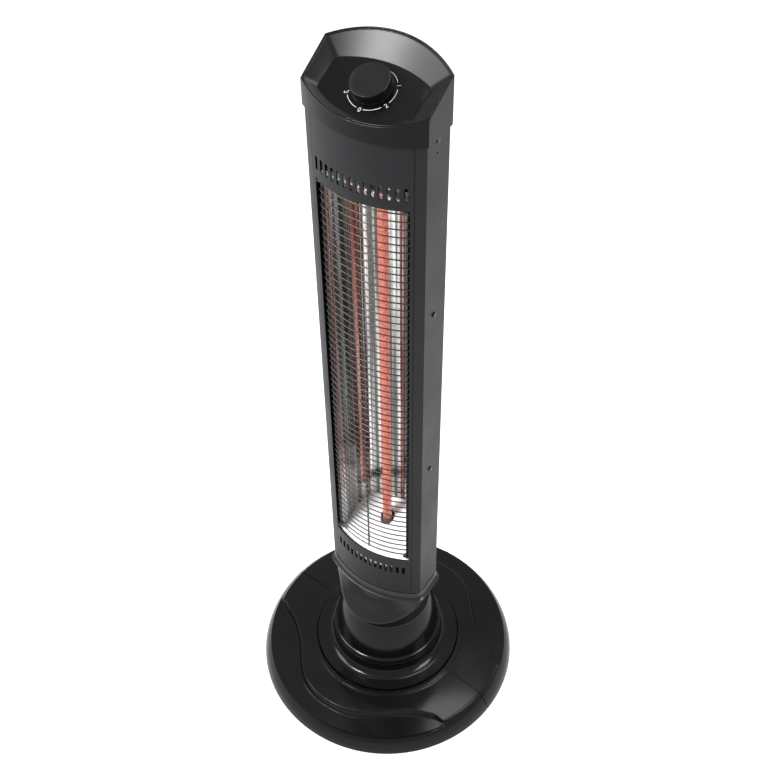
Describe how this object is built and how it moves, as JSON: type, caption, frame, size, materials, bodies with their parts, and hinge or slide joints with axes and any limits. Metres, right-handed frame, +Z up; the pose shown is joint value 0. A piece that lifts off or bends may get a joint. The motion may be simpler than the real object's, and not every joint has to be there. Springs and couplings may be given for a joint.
{
  "type": "infrared tower heater",
  "caption": "Upright tower heater with a bowed wire grille over a quartz lamp and reflector, a sloped dial on top and a round swivelling base.",
  "frame": {"origin": "centre of the round base, on the floor under the feet", "axes": "+Z up, the heater faces -Y, +X to the right seen from the front"},
  "size_m": [0.374, 0.374, 1.0221],
  "materials": {
    "black_gloss": "gloss moulded plastic",
    "black_satin": "satin moulded plastic",
    "dark_paint": "satin powder coat",
    "wire": "dark plated wire",
    "polished": "polished sheet",
    "quartz": "clear quartz",
    "carbon": "glowing carbon",
    "ceramic": "unglazed ceramic",
    "zinc": "zinc plated",
    "iron": "bare casting",
    "rubber": "matte",
    "screw": "dark plated",
    "glide_plastic": "natural slide plastic"
  },
  "bodies": {
    "base": {"base_cover_front": "black_gloss", "base_cover_rear": "black_gloss", "base_plate": "zinc", "counterweight": "iron", "rubber_feet": "rubber", "base_screws": "screw", "swing_motor": "zinc", "swivel_ring": "glide_plastic", "cable_gland": "rubber"},
    "tower": {"pedestal": "black_gloss", "swivel_hub": "zinc", "swing_shaft": "zinc", "column_screws": "screw", "neck_collar": "black_satin", "bottom_bracket": "zinc", "housing_shell": "dark_paint", "front_frame": "dark_paint", "grille": "wire", "grille_clips": "wire", "reflector": "polished", "reflector_floor": "polished", "reflector_ceiling": "polished", "lamp_tube": "quartz", "lamp_filament": "carbon", "lamp_end_caps": "ceramic", "lamp_holders": "ceramic", "heat_shield": "zinc", "thermal_cutout": "zinc", "terminal_block": "glide_plastic", "tilt_switch": "black_satin", "top_bracket": "zinc", "rotary_switch": "black_satin", "top_cap": "black_gloss", "control_panel": "black_satin", "side_screws": "screw", "cap_screws": "screw"},
    "knob": {"knob": "black_satin", "switch_shaft": "glide_plastic"}
  },
  "joints": [
    {"name": "tower_swing", "type": "hinge", "parent": "base", "child": "tower", "pos_m": [0, 0, 0.036], "axis": [0, 0, 1], "range_deg": [-42, 28]},
    {"name": "knob_turn", "type": "hinge", "parent": "tower", "child": "knob", "pos_m": [0, -0.0099, 0.98754], "axis": [0, -0.3714, 0.9285], "range_deg": [-62, 118]}
  ]
}
